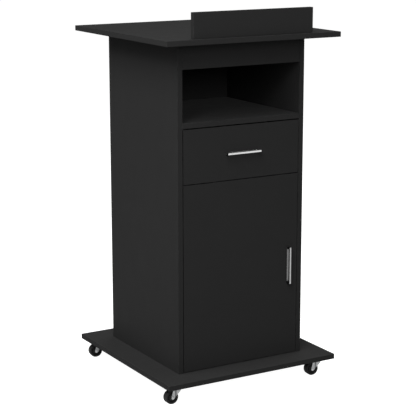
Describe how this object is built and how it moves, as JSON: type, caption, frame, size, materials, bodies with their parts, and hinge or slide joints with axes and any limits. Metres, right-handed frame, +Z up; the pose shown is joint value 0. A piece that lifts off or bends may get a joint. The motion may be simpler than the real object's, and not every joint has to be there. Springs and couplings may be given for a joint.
{
  "type": "presentation lectern",
  "caption": "Wheeled presentation lectern: a cabinet with an open compartment, a drawer and a hinged door between a square top board with a document stop and a square base on casters.",
  "frame": {"origin": "on the floor, under the middle of the square boards", "axes": "+Z up, -Y towards the person who opens the drawer and the door, +X to that person's right"},
  "size_m": [0.6, 0.6, 1.167],
  "materials": {
    "black_laminate": "fine-grained black melamine on engineered board, satin",
    "drawer_board": "grey melamine on engineered board, satin",
    "drawer_sheet": "thin grey-faced fibreboard",
    "brushed_metal": "brushed along its length",
    "zinc_plate": "bright zinc plating",
    "nickel_plate": "nickel plating",
    "caster_wheel": "black moulded nylon",
    "black_plastic": "black moulded plastic"
  },
  "bodies": {
    "cabinet": {"base_board": "black_laminate", "top_board": "black_laminate", "document_stop": "black_laminate", "side_panel_left": "black_laminate", "side_panel_right": "black_laminate", "back_panel": "black_laminate", "front_rail": "black_laminate", "compartment_shelf": "black_laminate", "drawer_divider": "black_laminate", "cupboard_shelf": "black_laminate", "shelf_pin_front_left": "nickel_plate", "shelf_pin_front_right": "nickel_plate", "shelf_pin_back_left": "nickel_plate", "shelf_pin_back_right": "nickel_plate", "runner_outer_left": "zinc_plate", "runner_outer_right": "zinc_plate", "hinge_arm_lower": "nickel_plate", "hinge_arm_upper": "nickel_plate", "hinge_plate_lower": "nickel_plate", "hinge_plate_upper": "nickel_plate", "magnetic_catch": "black_plastic", "caster_plate_front_left": "zinc_plate", "caster_plate_front_right": "zinc_plate", "caster_plate_back_left": "zinc_plate", "caster_plate_back_right": "zinc_plate"},
    "drawer": {"drawer_front": "black_laminate", "drawer_side_left": "drawer_board", "drawer_side_right": "drawer_board", "drawer_back": "drawer_board", "drawer_bottom": "drawer_sheet", "runner_inner_left": "zinc_plate", "runner_inner_right": "zinc_plate", "drawer_handle": "brushed_metal", "drawer_handle_screw_left": "nickel_plate", "drawer_handle_screw_right": "nickel_plate"},
    "runner_middle_left": {"runner_middle_left": "zinc_plate"},
    "runner_middle_right": {"runner_middle_right": "zinc_plate"},
    "door": {"door": "black_laminate", "door_handle": "brushed_metal", "door_handle_screw_lower": "nickel_plate", "door_handle_screw_upper": "nickel_plate", "hinge_cup_lower": "nickel_plate", "hinge_cup_upper": "nickel_plate", "catch_strike": "zinc_plate"},
    "hinge_link_lower": {"hinge_link_lower": "nickel_plate"},
    "hinge_link_upper": {"hinge_link_upper": "nickel_plate"},
    "caster_front_left": {"caster_fork_front_left": "zinc_plate", "caster_axle_front_left": "zinc_plate"},
    "wheel_front_left": {"caster_wheel_front_left": "caster_wheel"},
    "caster_front_right": {"caster_fork_front_right": "zinc_plate", "caster_axle_front_right": "zinc_plate"},
    "wheel_front_right": {"caster_wheel_front_right": "caster_wheel"},
    "caster_back_left": {"caster_fork_back_left": "zinc_plate", "caster_axle_back_left": "zinc_plate"},
    "wheel_back_left": {"caster_wheel_back_left": "caster_wheel"},
    "caster_back_right": {"caster_fork_back_right": "zinc_plate", "caster_axle_back_right": "zinc_plate"},
    "wheel_back_right": {"caster_wheel_back_right": "caster_wheel"}
  },
  "joints": [
    {"name": "drawer_slide", "type": "slide", "parent": "cabinet", "child": "drawer", "axis": [0, -1, 0], "range_m": [0, 0.35]},
    {"name": "runner_left_slide", "type": "slide", "parent": "cabinet", "child": "runner_middle_left", "axis": [0, -1, 0], "range_m": [0, 0.176]},
    {"name": "runner_right_slide", "type": "slide", "parent": "cabinet", "child": "runner_middle_right", "axis": [0, -1, 0], "range_m": [0, 0.176]},
    {"name": "door_hinge", "type": "hinge", "parent": "cabinet", "child": "door", "pos_m": [-0.204, -0.22, 0.36325], "axis": [0, 0, -1], "range_deg": [0, 95]},
    {"name": "hinge_link_lower_turn", "type": "hinge", "parent": "cabinet", "child": "hinge_link_lower", "pos_m": [-0.204, -0.22, 0.1735], "axis": [0, 0, -1], "range_deg": [0, 77]},
    {"name": "hinge_link_upper_turn", "type": "hinge", "parent": "cabinet", "child": "hinge_link_upper", "pos_m": [-0.204, -0.22, 0.553], "axis": [0, 0, -1], "range_deg": [0, 77]},
    {"name": "caster_front_left_swivel", "type": "hinge", "parent": "cabinet", "child": "caster_front_left", "pos_m": [-0.256, -0.256, 0.05], "axis": [0, 0, 1], "continuous": true},
    {"name": "wheel_front_left_roll", "type": "hinge", "parent": "caster_front_left", "child": "wheel_front_left", "pos_m": [-0.27099, -0.25652, 0.021], "axis": [0.0349, -0.9994, 0], "continuous": true},
    {"name": "caster_front_right_swivel", "type": "hinge", "parent": "cabinet", "child": "caster_front_right", "pos_m": [0.256, -0.256, 0.05], "axis": [0, 0, 1], "continuous": true},
    {"name": "wheel_front_right_roll", "type": "hinge", "parent": "caster_front_right", "child": "wheel_front_right", "pos_m": [0.24108, -0.25443, 0.021], "axis": [-0.1045, -0.9945, 0], "continuous": true},
    {"name": "caster_back_left_swivel", "type": "hinge", "parent": "cabinet", "child": "caster_back_left", "pos_m": [-0.256, 0.256, 0.05], "axis": [0, 0, 1], "continuous": true},
    {"name": "wheel_back_left_roll", "type": "hinge", "parent": "caster_back_left", "child": "wheel_back_left", "pos_m": [-0.27092, 0.25757, 0.021], "axis": [-0.1045, -0.9945, 0], "continuous": true},
    {"name": "caster_back_right_swivel", "type": "hinge", "parent": "cabinet", "child": "caster_back_right", "pos_m": [0.256, 0.256, 0.05], "axis": [0, 0, 1], "continuous": true},
    {"name": "wheel_back_right_roll", "type": "hinge", "parent": "caster_back_right", "child": "wheel_back_right", "pos_m": [0.24111, 0.25417, 0.021], "axis": [0.1219, -0.9925, 0], "continuous": true}
  ],
  "couplings": [
    {"joint": "runner_left_slide", "follows": "drawer_slide", "ratio": 0.5},
    {"joint": "runner_right_slide", "follows": "drawer_slide", "ratio": 0.5},
    {"joint": "hinge_link_lower_turn", "follows": "door_hinge", "ratio": 0.81},
    {"joint": "hinge_link_upper_turn", "follows": "door_hinge", "ratio": 0.81}
  ]
}
